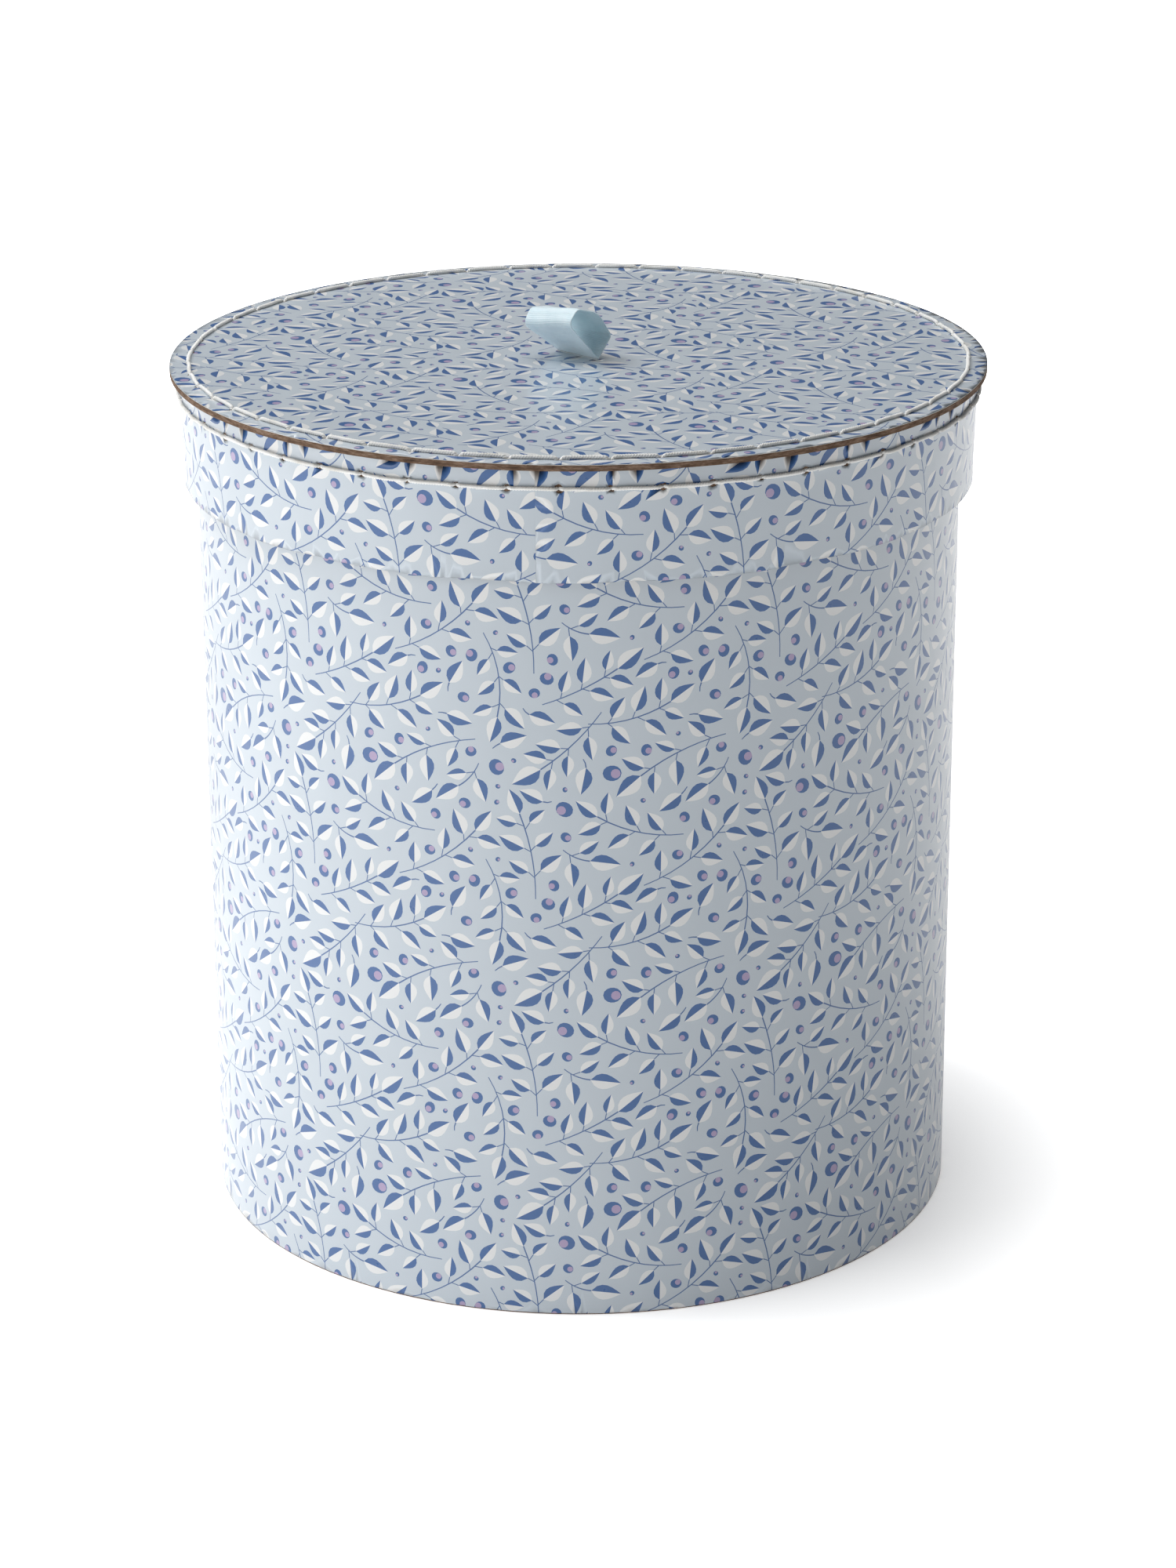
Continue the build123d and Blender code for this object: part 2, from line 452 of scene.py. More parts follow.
def cut_cell(low, outline, shapes, holes, creases):
    """The part of a sheet inside one repeat of the print: (points, triangles, inks)."""
    high = low + TILE
    cell = np.array(((0, 0), (TILE[0], 0), tuple(TILE), (0, TILE[1])))
    outline, holes = outline - low, [hole - low for hole in holes]
    creases = [[np.array(end) - low for end in crease] for crease in creases]
    drawn = [
        (ink, points + shift - low)
        for wanted in (STEM, WHITE, BLUE, LILAC)
        for ink, points in shapes
        if ink == wanted
        for shift in overlapping(points, low, high)
    ]
    grid = np.meshgrid(*(TILE[k] * (np.arange(GRID) + 0.5) / GRID for k in (0, 1)))
    extra = np.stack(grid, -1).reshape(-1, 2)
    for hole in holes:
        extra = np.concatenate((extra, hole.mean(0) + (hole - hole.mean(0)) * 1.9))
    points, triangles = triangulate([cell, outline, *holes, *(p for _, p in drawn)], creases, extra)
    middles = points[triangles].mean(1)
    inks = np.zeros(len(triangles), int)
    for ink, polygon in drawn:
        inks[held_by(polygon, middles)] = ink
    kept = np.zeros(len(triangles), int)
    kept[held_by(cell, middles)] += 1
    kept[held_by(outline, middles)] += 1
    for hole in holes:
        kept[held_by(hole, middles)] = 0
    return points + low, triangles[kept == 2], inks[kept == 2]


def cut_paper(outline, shapes, holes=(), creases=()):
    """Cuts a sheet out of the repeating print: (points, triangles, inks), in mm on the flat sheet."""
    outline = np.asarray(outline, float)
    low, high = outline.min(0), outline.max(0)
    cells = np.ceil((high - low) / TILE - SNAP).astype(int)
    plain = None
    points, triangles, inks, count = [], [], [], 0
    for column in range(cells[0]):
        for row in range(cells[1]):
            corner = low + TILE * (column, row)
            middle = corner + TILE / 2
            reach = np.hypot(*TILE) / 2
            near_holes = [h for h in holes if np.hypot(*(h.mean(0) - middle)) < reach + 5]
            near_creases = [c for c in creases if corner[1] < c[0][1] < corner[1] + TILE[1]]
            whole = len(outline) == 4 and (corner + TILE < high + SNAP).all()
            if whole and not near_holes and not near_creases:
                plain = plain or cut_cell(low, outline, shapes, (), ())
                cell = (plain[0] + corner - low, *plain[1:])
            else:
                cell = cut_cell(corner, outline, shapes, near_holes, near_creases)
            points.append(cell[0])
            triangles.append(np.array(cell[1], int).reshape(-1, 3) + count)
            inks.append(cell[2])
            count += len(cell[0])
    points, inks = np.concatenate(points), np.concatenate(inks).astype(int)
    triangles = welded(points, (points - low) / TILE)[np.concatenate(triangles)]
    whole = (triangles != np.roll(triangles, 1, axis=1)).all(1)
    used, triangles = np.unique(triangles[whole], return_inverse=True)
    return points[used], triangles.reshape(-1, 3), inks[whole]


def welded(points, cells):
    """For each point, the first point at its place. Only points on the lines between cells meet."""
    same = np.arange(len(points))
    near = np.nonzero((np.abs(cells - np.round(cells)) < SNAP).any(1))[0]
    tree = KDTree(len(near))
    for number, point in enumerate(near):
        tree.insert((*points[point], 0), number)
    tree.balance()
    for point in near:
        if same[point] == point:
            for _, number, _ in tree.find_range((*points[point], 0), WELD):
                if near[number] > point:
                    same[near[number]] = point
    return same


def border_edges(triangles):
    """Directed edges that only one triangle has."""
    sides = np.concatenate([triangles[:, (k, (k + 1) % 3)] for k in range(3)])
    keys = {tuple(side) for side in sides.tolist()}
    return np.array([side for side in sides.tolist() if (side[1], side[0]) not in keys])


# ---------------- meshes

def add_piece(name, points, faces, materials, indices=None, normals=None):
    """A smooth mesh object. normals, if given, has one for each corner of each face."""
    mesh = bpy.data.meshes.new(name)
    mesh.from_pydata(np.asarray(points).tolist(), [], faces)
    for material in materials:
        mesh.materials.append(material)
    if indices is not None:
        mesh.polygons.foreach_set("material_index", np.asarray(indices, np.int32))
    mesh.polygons.foreach_set("use_smooth", np.ones(len(mesh.polygons), bool))
    if normals is not None:
        stored = mesh.attributes.new("custom_normal", "FLOAT_VECTOR", "CORNER")
        stored.data.foreach_set("vector", np.asarray(normals, np.float32).ravel())
    mesh.update()
    piece = bpy.data.objects.new(name, mesh)
    bpy.context.scene.collection.objects.link(piece)
    return piece


def face_normals(points, faces):
    a, b, c = (points[faces[:, k]] for k in range(3))
    across = np.cross(b - a, c - a)
    length = np.linalg.norm(across, axis=1, keepdims=True)
    return across / np.maximum(length, 1e-15)


def smoothstep(value, low, high):
    t = np.clip((value - low) / (high - low), 0, 1)
    return t * t * (3 - 2 * t)


def normals_of(surface, points):
    h = 0.05
    right = surface(points + (h, 0), 0) - surface(points - (h, 0), 0)
    up = surface(points + (0, h), 0) - surface(points - (0, h), 0)
    return unit(np.cross(right, up))


def back_of_sheet(points, border, outline, holes, levels):
    """A coarse skin that shares the face's border: (points on the flat sheet, triangles)."""
    rim = np.unique(border)
    number = {int(p): k for k, p in enumerate(rim)}
    low, high = outline.min(0), outline.max(0)
    across = np.arange(low[0] + BACK_STEP, high[0] - BACK_STEP / 2, BACK_STEP)
    rows = [np.column_stack((across, np.full(len(across), level))) for level in levels]
    edges = [(number[a], number[b]) for a, b in border.tolist()]
    for row in range(len(rows)):
        start = len(rim) + row * len(across)
        edges += [(k, k + 1) for k in range(start, start + len(across) - 1)]
    flat = np.concatenate([points[rim], *rows])
    found = delaunay_2d_cdt([Vector(p) for p in flat], edges, [], 0, 1e-7)
    origin = np.array([held[0] if held else -1 for held in found[3]])
    skin = origin[np.array(found[2])]
    skin = skin[(skin >= 0).all(1)]
    centres = flat[skin].mean(1)
    kept = np.zeros(len(skin), bool)
    kept[held_by(outline, centres)] = True
    for hole in holes:
        kept[held_by(hole, centres)] = False
    return rim, flat, skin[kept]


def paper_piece(name, sheet, surface, body, outline, holes=(), levels=()):
    """Bends a cut sheet into place, with its real thickness and its cut edges.

    surface(points, depth) places points of the flat sheet, at depth 0 on the printed face and 1 on the
    back. levels are the heights at which the back has rows of points.
    """
    points, triangles, inks = sheet
    border = border_edges(triangles)
    rim, flat, skin = back_of_sheet(points, border, np.asarray(outline, float), holes, levels)
    count = len(points)
    behind = np.zeros(count, int)
    behind[rim] = np.arange(len(rim)) + count
    a, b = border[:, 0], border[:, 1]
    walls = np.concatenate((np.stack((b, a, behind[a]), 1), np.stack((b, behind[a], behind[b]), 1)))
    everything = np.concatenate((surface(points, 0), surface(flat, 1)))
    normals = np.concatenate(
        (
            normals_of(surface, points)[triangles].reshape(-1, 3),
            np.repeat(face_normals(everything, walls), 3, axis=0),
            -normals_of(surface, flat)[skin[:, ::-1]].reshape(-1, 3),
        )
    )
    faces = np.concatenate((triangles, walls, skin[:, ::-1] + count))
    indices = np.concatenate((inks, np.full(len(walls) + len(skin), len(INKS))))
    materials = [FINISHES[ink] for ink in INKS] + [FINISHES["paper_edge"]]
    piece = add_piece(name, everything * MM, faces.tolist(), materials, indices, normals)
    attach(piece, body)
    return piece


# ---------------- finishes

class Finish:
    """A procedural material round one Principled shader. A socket's name has _ for a space, and a
    node's kind goes without its ShaderNode."""

    def __init__(self, name, **values):
        self.material = bpy.data.materials.new(name)
        self.material.use_nodes = True
        self.tree = self.material.node_tree
        self.shader = self.tree.nodes["Principled BSDF"]
        self.place = self.node("TexCoord").outputs["Object"]
        self.bumps = None
        self.set(**values)

    def set(self, **values):
        for name, value in values.items():
            self.feed(self.shader.inputs[name.replace("_", " ")], value)
        return self

    def feed(self, socket, value):
        if isinstance(value, bpy.types.NodeSocket):
            self.tree.links.new(value, socket)
        elif socket.type == "RGBA":
            socket.default_value = (*value, 1)
        else:
            socket.default_value = value

    def node(self, kind, settings=(), **values):
        made = self.tree.nodes.new("ShaderNode" + kind)
        for name, value in dict(settings).items():
            setattr(made, name, value)
        for name, value in values.items():
            self.feed(made.inputs[name.replace("_", " ")], value)
        return made

    def maths(self, operation, *values, kind="Math"):
        made = self.node(kind, {"operation": operation})
        for socket, value in zip(made.inputs, values):
            self.feed(socket, value)
        return made.outputs["Value"]

    def noise(self, scale, stretch=(1, 1, 1), detail=3.0, roughness=0.55):
        """Noise with about `scale` waves per metre, squeezed along an axis by `stretch`."""
        place = self.node("Mapping", Vector=self.place, Scale=stretch).outputs[0]
        made = self.node("TexNoise", Vector=place, Scale=scale, Detail=detail, Roughness=roughness)
        return made.outputs["Fac"]

    def between(self, value, low, high, start=0.3, end=0.7):
        settings = {"From_Min": start, "From_Max": end, "To_Min": low, "To_Max": high}
        return self.node("MapRange", Value=value, **settings).outputs["Result"]

    def colours(self, value, *stops):
        """A colour ramp: stops are (position, colour)."""
        ramp = self.node("ValToRGB", Fac=value)
        points = ramp.color_ramp.elements
        while len(points) < len(stops):
            points.new(0.5)
        for point, (position, colour) in zip(points, stops):
            point.position = position
            point.color = (*colour, 1)
        return ramp.outputs["Color"]

    def bump(self, height, depth):
        values = {"Height": height, "Distance": depth, "Strength": 1.0}
        if self.bumps:
            values["Normal"] = self.bumps
        self.bumps = self.node("Bump", **values).outputs["Normal"]
        return self.set(Normal=self.bumps)


def print_finish(name, colour, roughness):
    """Ink under a gloss coat, on paper that isn't quite flat."""
    made = Finish(name, Base_Color=colour, Coat_Weight=0.55, Coat_Roughness=0.2, Specular_IOR_Level=0.5)
    broad = made.noise(38, detail=2.0)
    made.set(Roughness=made.between(made.noise(230), roughness - 0.06, roughness + 0.06))
    made.bump(broad, 0.0001)
    made.bump(made.noise(1300, detail=4.0), 0.000006)
    return made.material


def fibreboard_finish(name, stretch, depth):
    """Raw pressed board: flecked brown fibres."""
    made = Finish(name, Specular_IOR_Level=0.2)
    fibres = made.noise(260, stretch, detail=8.0, roughness=0.7)
    flecks = made.noise(900, stretch, detail=3.0)
    mixed = made.maths("MULTIPLY_ADD", flecks, 0.4, made.between(fibres, 0.0, 0.6, 0.25, 0.75))
    stops = ((0.15, (0.035, 0.02, 0.013)), (0.45, (0.13, 0.08, 0.052)), (0.8, (0.33, 0.23, 0.165)))
    made.set(Base_Color=made.colours(mixed, *stops))
    made.set(Roughness=made.between(flecks, 0.75, 0.95))
    made.bump(mixed, depth)
    return made.material


def lining_finish(name, light, dark):
    """Matt paper with a faint clouding and short fibres."""
    made = Finish(name, Specular_IOR_Level=0.25)
    clouds = made.noise(55, detail=5.0)
    made.set(Base_Color=made.colours(clouds, (0.3, dark), (0.7, light)))
    fibres = made.noise(900, (1, 1, 0.3), detail=5.0)
    made.set(Roughness=made.between(fibres, 0.78, 0.9))
    made.bump(clouds, 0.0001)
    made.bump(fibres, 0.00002)
    return made.material


def edge_finish(name):
    """The cut edge and the back of the printed paper."""
    made = Finish(name, Base_Color=(0.74, 0.73, 0.7), Specular_IOR_Level=0.2)
    fibres = made.noise(1500, detail=4.0)
    made.set(Roughness=made.between(fibres, 0.75, 0.95))
    return made.bump(fibres, 0.00003).material


def thread_finish(name):
    made = Finish(name, Sheen_Weight=0.35, Sheen_Roughness=0.4, Specular_IOR_Level=0.3)
    hairs = made.noise(1600, detail=5.0)
    wear = made.noise(70)
    stops = ((0.25, (0.7, 0.68, 0.62)), (0.45, (0.84, 0.84, 0.81)), (0.8, (0.92, 0.92, 0.91)))
    made.set(Base_Color=made.colours(wear, *stops), Roughness=made.between(hairs, 0.55, 0.75))
    return made.bump(hairs, 0.00008).material


def ribbon_finish(name):
    """Grosgrain: fine warp threads over the ribs, and a slight sheen."""
    made = Finish(name, Sheen_Weight=0.5, Sheen_Roughness=0.35, Specular_IOR_Level=0.4)
    made.set(Subsurface_Weight=0.4, Subsurface_Radius=(0.8, 1.0, 1.0), Subsurface_Scale=0.0012)
    warp = made.noise(1500, (3.2, 0.5, 0.5), detail=3.0)
    cloth = made.noise(160)
    stops = ((0.3, (0.62, 0.77, 0.84)), (0.7, (0.71, 0.85, 0.91)))
    made.set(Base_Color=made.colours(cloth, *stops), Roughness=made.between(warp, 0.42, 0.6))
    return made.bump(warp, 0.00006).material


FINISHES = {
    "ground": print_finish("paper_ground", (0.51, 0.57, 0.625), 0.36),
    "stem": print_finish("paper_stem_ink", (0.05, 0.12, 0.3), 0.34),
    "white": print_finish("paper_white_ink", (0.73, 0.74, 0.74), 0.34),
    "blue": print_finish("paper_blue_ink", (0.024, 0.103, 0.3), 0.33),
    "lilac": print_finish("paper_lilac_ink", (0.38, 0.3, 0.47), 0.34),
    "paper_edge": edge_finish("paper_cut_edge"),
    "board": fibreboard_finish("fibreboard", (1, 1, 1), 0.0002),
    "board_edge": fibreboard_finish("fibreboard_edge", (0.6, 0.6, 3.0), 0.0004),
    "lining": lining_finish("lining_paper", (0.82, 0.81, 0.77), (0.76, 0.75, 0.7)),
    "patch": lining_finish("patch_paper", (0.74, 0.73, 0.69), (0.66, 0.65, 0.61)),
    "thread": thread_finish("cotton_thread"),
    "ribbon": ribbon_finish("grosgrain_ribbon"),
}

NODE_FINISHES = {
    "body_wall": "board",
    "base_board": "board",
    "lid_board": "board_edge",
    "lid_rim_band": "board",
    "body_lining_paper": "lining",
    "base_lining_paper": "lining",
    "lid_lining_paper": "lining",
    "ribbon_patch": "patch",
}
for node, finish in NODE_FINISHES.items():
    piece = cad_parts[node]
    for index in range(len(piece.material_slots)):
        piece.material_slots[index].material = FINISHES[finish]
    if not piece.material_slots:
        piece.data.materials.append(FINISHES[finish])


# ---------------- the printed papers

# Radii of the torn holes, and how far their edges stand proud and how far round them
DISC_HOLES = (1.1, 1.6)
RIM_HOLES = (1.35, 2.1)
DISC_BURRS = (0.1, 0.3)
RIM_BURRS = (0.15, 0.45)
DISC_BURR_REACH = 1.6
RIM_BURR_REACH = 1.7
LAP_RUN = 4.0
DISC_STEPS = 288
RIM_FOOT_STEPS = 340


def torn_hole(rng, radius):
    """A needle hole that the thread has torn wider, more along the stitches than across them."""
    steps = 11
    angles = (np.arange(steps) + rng.uniform(-0.3, 0.3, steps)) * TAU / steps
    reach = radius * rng.uniform(0.8, 1.25, steps)
    return np.stack((np.cos(angles) * reach, np.sin(angles) * reach * 0.85), 1)


def burr(points, centres, heights, reach):
    """How far paper stands proud round torn holes."""
    lift = np.zeros(len(points))
    for centre, height in zip(centres, heights):
        gap = points - centre
        near = np.hypot(gap[:, 0], gap[:, 1])
        lean = 0.6 + 0.4 * np.cos(np.arctan2(gap[:, 1], gap[:, 0]) * 2 + 9 * height)
        lift += height * lean * np.exp(-((near / reach) ** 2)) * (near < 3 * reach)
    return lift


def round_at(angle, radius, level):
    return np.stack((radius * np.cos(angle), radius * np.sin(angle), level), 1)


def on_ring(x, start, girth, radius, level):
    return round_at(start + x / girth * TAU, radius, level)


def over_lap(x, lap):
    """The sheet's first edge lies on its last one."""
    return COVER_PAPER * (1 - smoothstep(x, lap, lap + LAP_RUN))


def body_surface(points, depth):
    x, y = points.T
    radius, level = BODY_FOLD.at(y, depth)
    wall = 1 - smoothstep(y, BODY_FOLD.stations[1] - LAP_RUN, BODY_FOLD.stations[1])
    return on_ring(x, BODY_SEAM, BODY_GIRTH, radius + over_lap(x, BODY_LAP) * wall, level)


def make_body_cover(shapes):
    width = BODY_GIRTH + BODY_LAP
    outline = ((0, 0), (width, 0), (width, BODY_FOLD.length), (0, BODY_FOLD.length))
    bends = BODY_FOLD.stations[1:-1]
    creases = [((-1, y), (width + 1, y)) for y in bends]
    sheet = cut_paper(outline, shapes, (), creases)
    levels = [*np.linspace(0, bends[0], 6)[1:-1], *bends]
    piece = paper_piece("body_cover", sheet, body_surface, "box", outline, (), levels)
    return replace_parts(piece, "body_cover_paper")


def make_lid_top(shapes):
    rng = np.random.default_rng(5)
    centres = [STITCH_RADIUS * heading_vector(angle) for angle in HOLE_ANGLES]
    holes = [
        turned(torn_hole(rng, rng.uniform(*DISC_HOLES)), angle + math.pi / 2, centre)
        for angle, centre in zip(HOLE_ANGLES, centres)
    ]
    heights = rng.uniform(*DISC_BURRS, STITCHES)
    half_x, half_y = SLOT_LENGTH / 2, SLOT_WIDTH / 2
    slot = np.array(((-half_x, -half_y), (half_x, -half_y), (half_x, half_y), (-half_x, half_y)))

    def surface(points, depth):
        level = LID_TOP - COVER_PAPER * depth + burr(points, centres, heights, DISC_BURR_REACH)
        return np.column_stack((points, level))

    angles = [TAU * k / DISC_STEPS for k in range(DISC_STEPS)]
    outline = [(LID_RADIUS - 0.05) * heading_vector(angle) for angle in angles]
    sheet = cut_paper(outline, shapes, [slot, *holes])
    piece = paper_piece("lid_top", sheet, surface, "lid", outline, [slot, *holes])
    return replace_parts(piece, "lid_top_paper")


def make_lid_rim(shapes):
    rng = np.random.default_rng(6)
    width = RIM_GIRTH + RIM_LAP
    height = RIM_OVERHANG + (STITCH_LEVEL - RIM_FOOT)
    centres = [
        np.array(((angle - RIM_SEAM) % TAU / TAU * RIM_GIRTH, height)) for angle in HOLE_ANGLES
    ]
    holes = [torn_hole(rng, rng.uniform(*RIM_HOLES)) + centre for centre in centres]
    heights = rng.uniform(*RIM_BURRS, STITCHES)
    waves = [(rng.uniform(20, 90), rng.uniform(0, TAU), rng.uniform(0.05, 0.12)) for _ in range(7)]

    def wave(x):
        return sum(size * np.sin(x / length * TAU + start) for length, start, size in waves)

    def surface(points, depth):
        x, y = points.T
        radius, level = RIM_FOLD.at(y, depth)
        loose = np.exp(-np.maximum(y - RIM_OVERHANG, 0) / 5)
        proud = over_lap(x, RIM_LAP) + burr(points, centres, heights, RIM_BURR_REACH)
        proud = proud + loose * (0.12 + np.maximum(wave(x + 7) * 0.8, 0))
        return on_ring(x, RIM_SEAM, RIM_GIRTH, radius + proud, level)

    x = np.linspace(0, width, RIM_FOOT_STEPS)
    foot = RIM_OVERHANG - 0.35 + wave(x)
    outline = np.concatenate((np.column_stack((x, foot)), ((width, RIM_FOLD.length), (0, RIM_FOLD.length))))
    sheet = cut_paper(outline, shapes, holes)
    levels = [RIM_FOLD.length * share for share in (0.1, 0.5)]
    piece = paper_piece("lid_rim", sheet, surface, "lid", outline, holes, levels)
    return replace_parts(piece, "lid_rim_paper")


PRINT = design_tile()
make_body_cover(PRINT)
make_lid_top(PRINT)
make_lid_rim(PRINT)


# ---------------- the thread

THREAD_RADIUS = 0.88
TWIST_PITCH = 3.4
PLIES = 3
# The radius at each step round one ply, from its crown through the groove beside it
PLY_SHAPE = (1.0, 0.92, 0.74, 0.92)
PATH_STEP = 0.42
TIE_RADIUS = THREAD_RADIUS * 0.8
TIE_STEP = 0.6
# How a stitch strays sideways: one bow and one double bow
STITCH_BOW = 0.22
STITCH_WIGGLE = 0.12
HOLE_DROP = 2.6
HOLE_DROP_RUN = 2.3


def resampled(path, step):
    path = np.asarray(path, float)
    run = run_along(path)
    at = np.linspace(0, run[-1], max(int(round(run[-1] / step)), 2) + 1)
    return points_at(at, run, path), at


def twisted(path, radius, step, phase, upward):
    """A three-ply thread along a path: (points, faces)."""
    path, run = resampled(path, step)
    way = unit(np.gradient(path, axis=0))
    side = unit(np.cross(way, upward))
    rise = np.cross(side, way)
    shape = np.array(PLY_SHAPE * PLIES) * radius
    count = len(shape)
    angles = np.arange(count) / count * TAU
    turn = angles[None] + (phase + run / TWIST_PITCH * TAU)[:, None]
    rings = path[:, None] + shape[None, :, None] * (
        np.cos(turn)[..., None] * side[:, None] + np.sin(turn)[..., None] * rise[:, None]
    )
    points = rings.reshape(-1, 3)
    first = np.arange(len(path) - 1)[:, None] * count
    here, there = np.arange(count), (np.arange(count) + 1) % count
    faces = np.stack(
        (first + here, first + there, first + count + there, first + count + here), -1
    ).reshape(-1, 4)
    ends = np.stack((path[0], path[-1]))
    last = len(points)
    caps = [(int(b), int(a), last) for a, b in zip(here, there)]
    top = (len(path) - 1) * count
    caps += [(int(a) + top, int(b) + top, last + 1) for a, b in zip(here, there)]
    return np.concatenate((points, ends)), faces.tolist() + caps


def rim_radius(level):
    share = (level - RIM_FOOT) / (DISC_UNDERSIDE - RIM_FOOT)
    return RIM_FOOT_RADIUS + (RIM_TOP_RADIUS - RIM_FOOT_RADIUS) * share


def stitch_height(gap, rng):
    """Height of a stitch's middle line over the paper, by the distance to its nearer hole."""
    drop = HOLE_DROP * np.clip(1 - gap / HOLE_DROP_RUN, 0, 1) ** 2
    return THREAD_RADIUS * 0.97 - drop + 0.1 * rng.random() * smoothstep(gap, 2, 9)


def stray(rng, t):
    bow = rng.normal(0, STITCH_BOW) * np.sin(math.pi * t)
    return bow + rng.normal(0, STITCH_WIGGLE) * np.sin(TAU * t)


def stitch_paths(rng, number):
    """The middle lines of one stitch on the disc, the one under it on the rim and the tie between."""
    start = HOLE_ANGLES[number]
    pitch = math.radians(STITCH_PITCH)
    t = np.linspace(0, 1, 60)
    sway = stray(rng, t)
    length = pitch * STITCH_RADIUS
    inset = PATH_STEP / length
    along = inset + t * (1 - 2 * inset)
    gap = np.minimum(along, 1 - along) * length
    first, last = (STITCH_RADIUS * heading_vector(start + pitch * k) for k in (0, 1))
    flat = first + along[:, None] * (last - first)
    flat += (sway / STITCH_RADIUS)[:, None] * flat
    over_disc = np.column_stack((flat, LID_TOP + stitch_height(gap, rng)))
    level = STITCH_LEVEL + stray(rng, t)
    angle = start + along * pitch
    outside = rim_radius(STITCH_LEVEL)
    over_rim = round_at(angle, outside + stitch_height(gap, rng), level)
    section = np.array(
        (
            (STITCH_RADIUS, LID_TOP - 1.2),
            (STITCH_RADIUS, DISC_UNDERSIDE - 0.4),
            (STITCH_RADIUS + 0.1, DISC_UNDERSIDE - 1.6),
            (outside - 3.3, STITCH_LEVEL + 1.2),
            (outside - 2.6, STITCH_LEVEL + 0.1),
            (outside - 1.2, STITCH_LEVEL),
        )
    )
    for _ in range(2):
        near = section[:-1] * 0.75 + section[1:] * 0.25
        far = section[:-1] * 0.25 + section[1:] * 0.75
        cut = np.stack((near, far), 1).reshape(-1, 2)
        section = np.concatenate((section[:1], cut, section[-1:]))
    return over_disc, over_rim, round_at(start, *section.T)


def make_thread():
    rng = np.random.default_rng(8)
    points, faces, count = [], [], 0
    for number, angle in enumerate(HOLE_ANGLES):
        outward = np.array((math.cos(angle), math.sin(angle), 0.0))
        sideways = np.array((-math.sin(angle), math.cos(angle), 0.0))
        over_disc, over_rim, tie = stitch_paths(rng, number)
        for path, radius, step, upward in (
            (over_disc, THREAD_RADIUS, PATH_STEP, (0, 0, 1)),
            (over_rim, THREAD_RADIUS, PATH_STEP, outward),
            (tie, TIE_RADIUS, TIE_STEP, sideways),
        ):
            more, made = twisted(path, radius, step, rng.uniform(0, TAU), np.array(upward, float))
            points.append(more)
            faces += [[corner + count for corner in face] for face in made]
            count += len(more)
    piece = add_piece("stitch_thread", np.concatenate(points) * MM, faces, [FINISHES["thread"]])
    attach(piece, "lid")
    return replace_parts(piece, "lid_stitch_thread")


make_thread()


# ---------------- the ribbon

RIBBON_WIDTH = 24.5
RIBBON_THICKNESS = 0.5
RIB_PITCH = 0.95
RIB_DEPTH = 0.1
RIB_STEPS = 8
SELVEDGE = 0.45
SELVEDGE_JUT = 0.07
# Where the strip has points across its width, from its edge to its middle
EDGE_COLUMNS = (0.0, 0.12, SELVEDGE, 1.0)
MIDDLE_COLUMNS = (-8, -4, 0, 4, 8)
# The loop's section as (y, height) from its root, and how far each end of the loop leans over
LOOP_CORNERS = ((0.0, 0.0), (-19.5, 17.0), (-14.5, 23.6), (-1.5, 20.6), (7.4, 9.9))
LOOP_RADII = (0.6, 3.4, 3.8, 12.0, 2.2)
LOOP_LIFT = 0.1
LOOP_TWIST = (-4.5, 5.5)
TAIL_LENGTH = 22.0


def rounded_loop(corners, radii):
    """A closed outline with rounded corners, walked clockwise or not as the corners are."""
    corners = np.array(corners)
    path = []
    for here, before, after, radius in zip(
        corners, np.roll(corners, 1, axis=0), np.roll(corners, -1, axis=0), radii
    ):
        back, on = unit(before - here), unit(after - here)
        half = math.acos(float(back @ on)) / 2
        middle = here + unit(back + on) * radius / math.sin(half)
        reach = radius / math.tan(half)
        start, end = here + back * reach - middle, here + on * reach - middle
        first = math.atan2(start[1], start[0])
        sweep = (math.atan2(end[1], end[0]) - first + math.pi) % TAU - math.pi
        for share in np.linspace(0, 1, max(int(abs(sweep) * radius / 0.1), 6)):
            path.append(middle + radius * heading_vector(first + sweep * share))
    return np.array(path)


